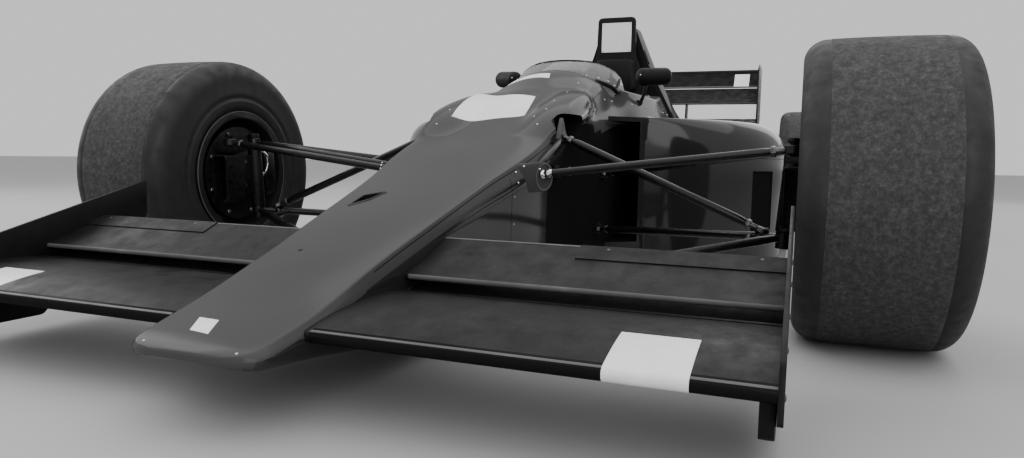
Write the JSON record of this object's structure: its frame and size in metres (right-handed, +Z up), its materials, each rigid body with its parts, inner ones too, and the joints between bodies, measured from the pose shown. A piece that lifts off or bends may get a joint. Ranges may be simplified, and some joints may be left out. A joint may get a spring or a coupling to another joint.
{
  "type": "open wheel racing car",
  "caption": "Single-seat open wheel racing car with front and rear wings, side ducts, wishbone suspension, slick tyres, turning wheels and working steering.",
  "frame": {"origin": "on the ground, under the middle of the car's length and width", "axes": "+X forward along the car, +Y to the car's left, +Z up"},
  "size_m": [4.28, 2.101, 0.975],
  "materials": {
    "body": "gloss",
    "screen": "gloss",
    "seat": "matte",
    "grip": "satin",
    "rod": "polished",
    "black_panel": "satin",
    "engine": "matte",
    "case": "satin",
    "pipe": "satin",
    "core": "matte",
    "carbon": "satin",
    "wing": "satin",
    "arm": "gloss",
    "upright": "satin",
    "rim": "satin",
    "tyre": "matte"
  },
  "bodies": {
    "chassis": {"nose_cone": "body", "tub": "body", "windscreen": "screen", "seat": "seat", "engine_cover": "body", "headrest": "black_panel", "engine_block": "engine", "gearbox": "case", "exhausts": "pipe", "side_pod_left": "body", "side_pod_right": "body", "radiators": "core", "floor": "carbon", "diffuser": "carbon", "front_wing": "wing", "front_flaps": "wing", "front_endplate_left": "wing", "front_endplate_right": "wing", "rear_wing_main": "wing", "rear_wing_flap": "wing", "rear_beam_wing": "wing", "rear_endplate_left": "wing", "rear_endplate_right": "wing", "rear_wing_posts": "case", "mirrors": "black_panel", "front_pushrods": "arm", "front_upper_arms": "arm", "front_lower_arms": "arm", "rear_arms": "arm", "rear_uprights": "upright"},
    "steering_wheel": {"steering_wheel": "grip"},
    "steering_rack": {"steering_rack": "rod"},
    "front_knuckle_left": {"front_upright_left": "upright"},
    "front_wheel_left": {"front_rim_left": "rim", "front_tyre_left": "tyre"},
    "rear_wheel_left": {"rear_rim_left": "rim", "rear_tyre_left": "tyre", "rear_axle_left": "rod"},
    "front_knuckle_right": {"front_upright_right": "upright"},
    "front_wheel_right": {"front_rim_right": "rim", "front_tyre_right": "tyre"},
    "rear_wheel_right": {"rear_rim_right": "rim", "rear_tyre_right": "tyre", "rear_axle_right": "rod"}
  },
  "joints": [
    {"name": "steer_left", "type": "hinge", "parent": "chassis", "child": "front_knuckle_left", "pos_m": [1.135, 0.722, 0.212], "axis": [0, 0.0723, 0.9974], "range_deg": [-15, 15]},
    {"name": "steer_right", "type": "hinge", "parent": "chassis", "child": "front_knuckle_right", "pos_m": [1.135, -0.722, 0.212], "axis": [0, -0.0723, 0.9974], "range_deg": [-15, 15]},
    {"name": "rack_slide", "type": "slide", "parent": "chassis", "child": "steering_rack", "axis": [0, 1, 0], "range_m": [-0.0263, 0.0263]},
    {"name": "steering_wheel_turn", "type": "hinge", "parent": "chassis", "child": "steering_wheel", "pos_m": [0.365, 0, 0.545], "axis": [-0.9613, 0, 0.2756], "range_deg": [-180, 180]},
    {"name": "front_wheel_left_spin", "type": "hinge", "parent": "front_knuckle_left", "child": "front_wheel_left", "pos_m": [1.165, 0.898, 0.3175], "axis": [0, 1, 0], "continuous": true},
    {"name": "rear_wheel_left_spin", "type": "hinge", "parent": "chassis", "child": "rear_wheel_left", "pos_m": [-1.635, 0.832, 0.33], "axis": [0, 1, 0], "continuous": true},
    {"name": "front_wheel_right_spin", "type": "hinge", "parent": "front_knuckle_right", "child": "front_wheel_right", "pos_m": [1.165, -0.898, 0.3175], "axis": [0, 1, 0], "continuous": true},
    {"name": "rear_wheel_right_spin", "type": "hinge", "parent": "chassis", "child": "rear_wheel_right", "pos_m": [-1.635, -0.832, 0.33], "axis": [0, 1, 0], "continuous": true}
  ],
  "couplings": [
    {"joint": "steer_right", "follows": "steer_left", "ratio": 1},
    {"joint": "rack_slide", "follows": "steer_left", "m_per_rad": 0.1},
    {"joint": "steering_wheel_turn", "follows": "steer_left", "ratio": 12}
  ]
}
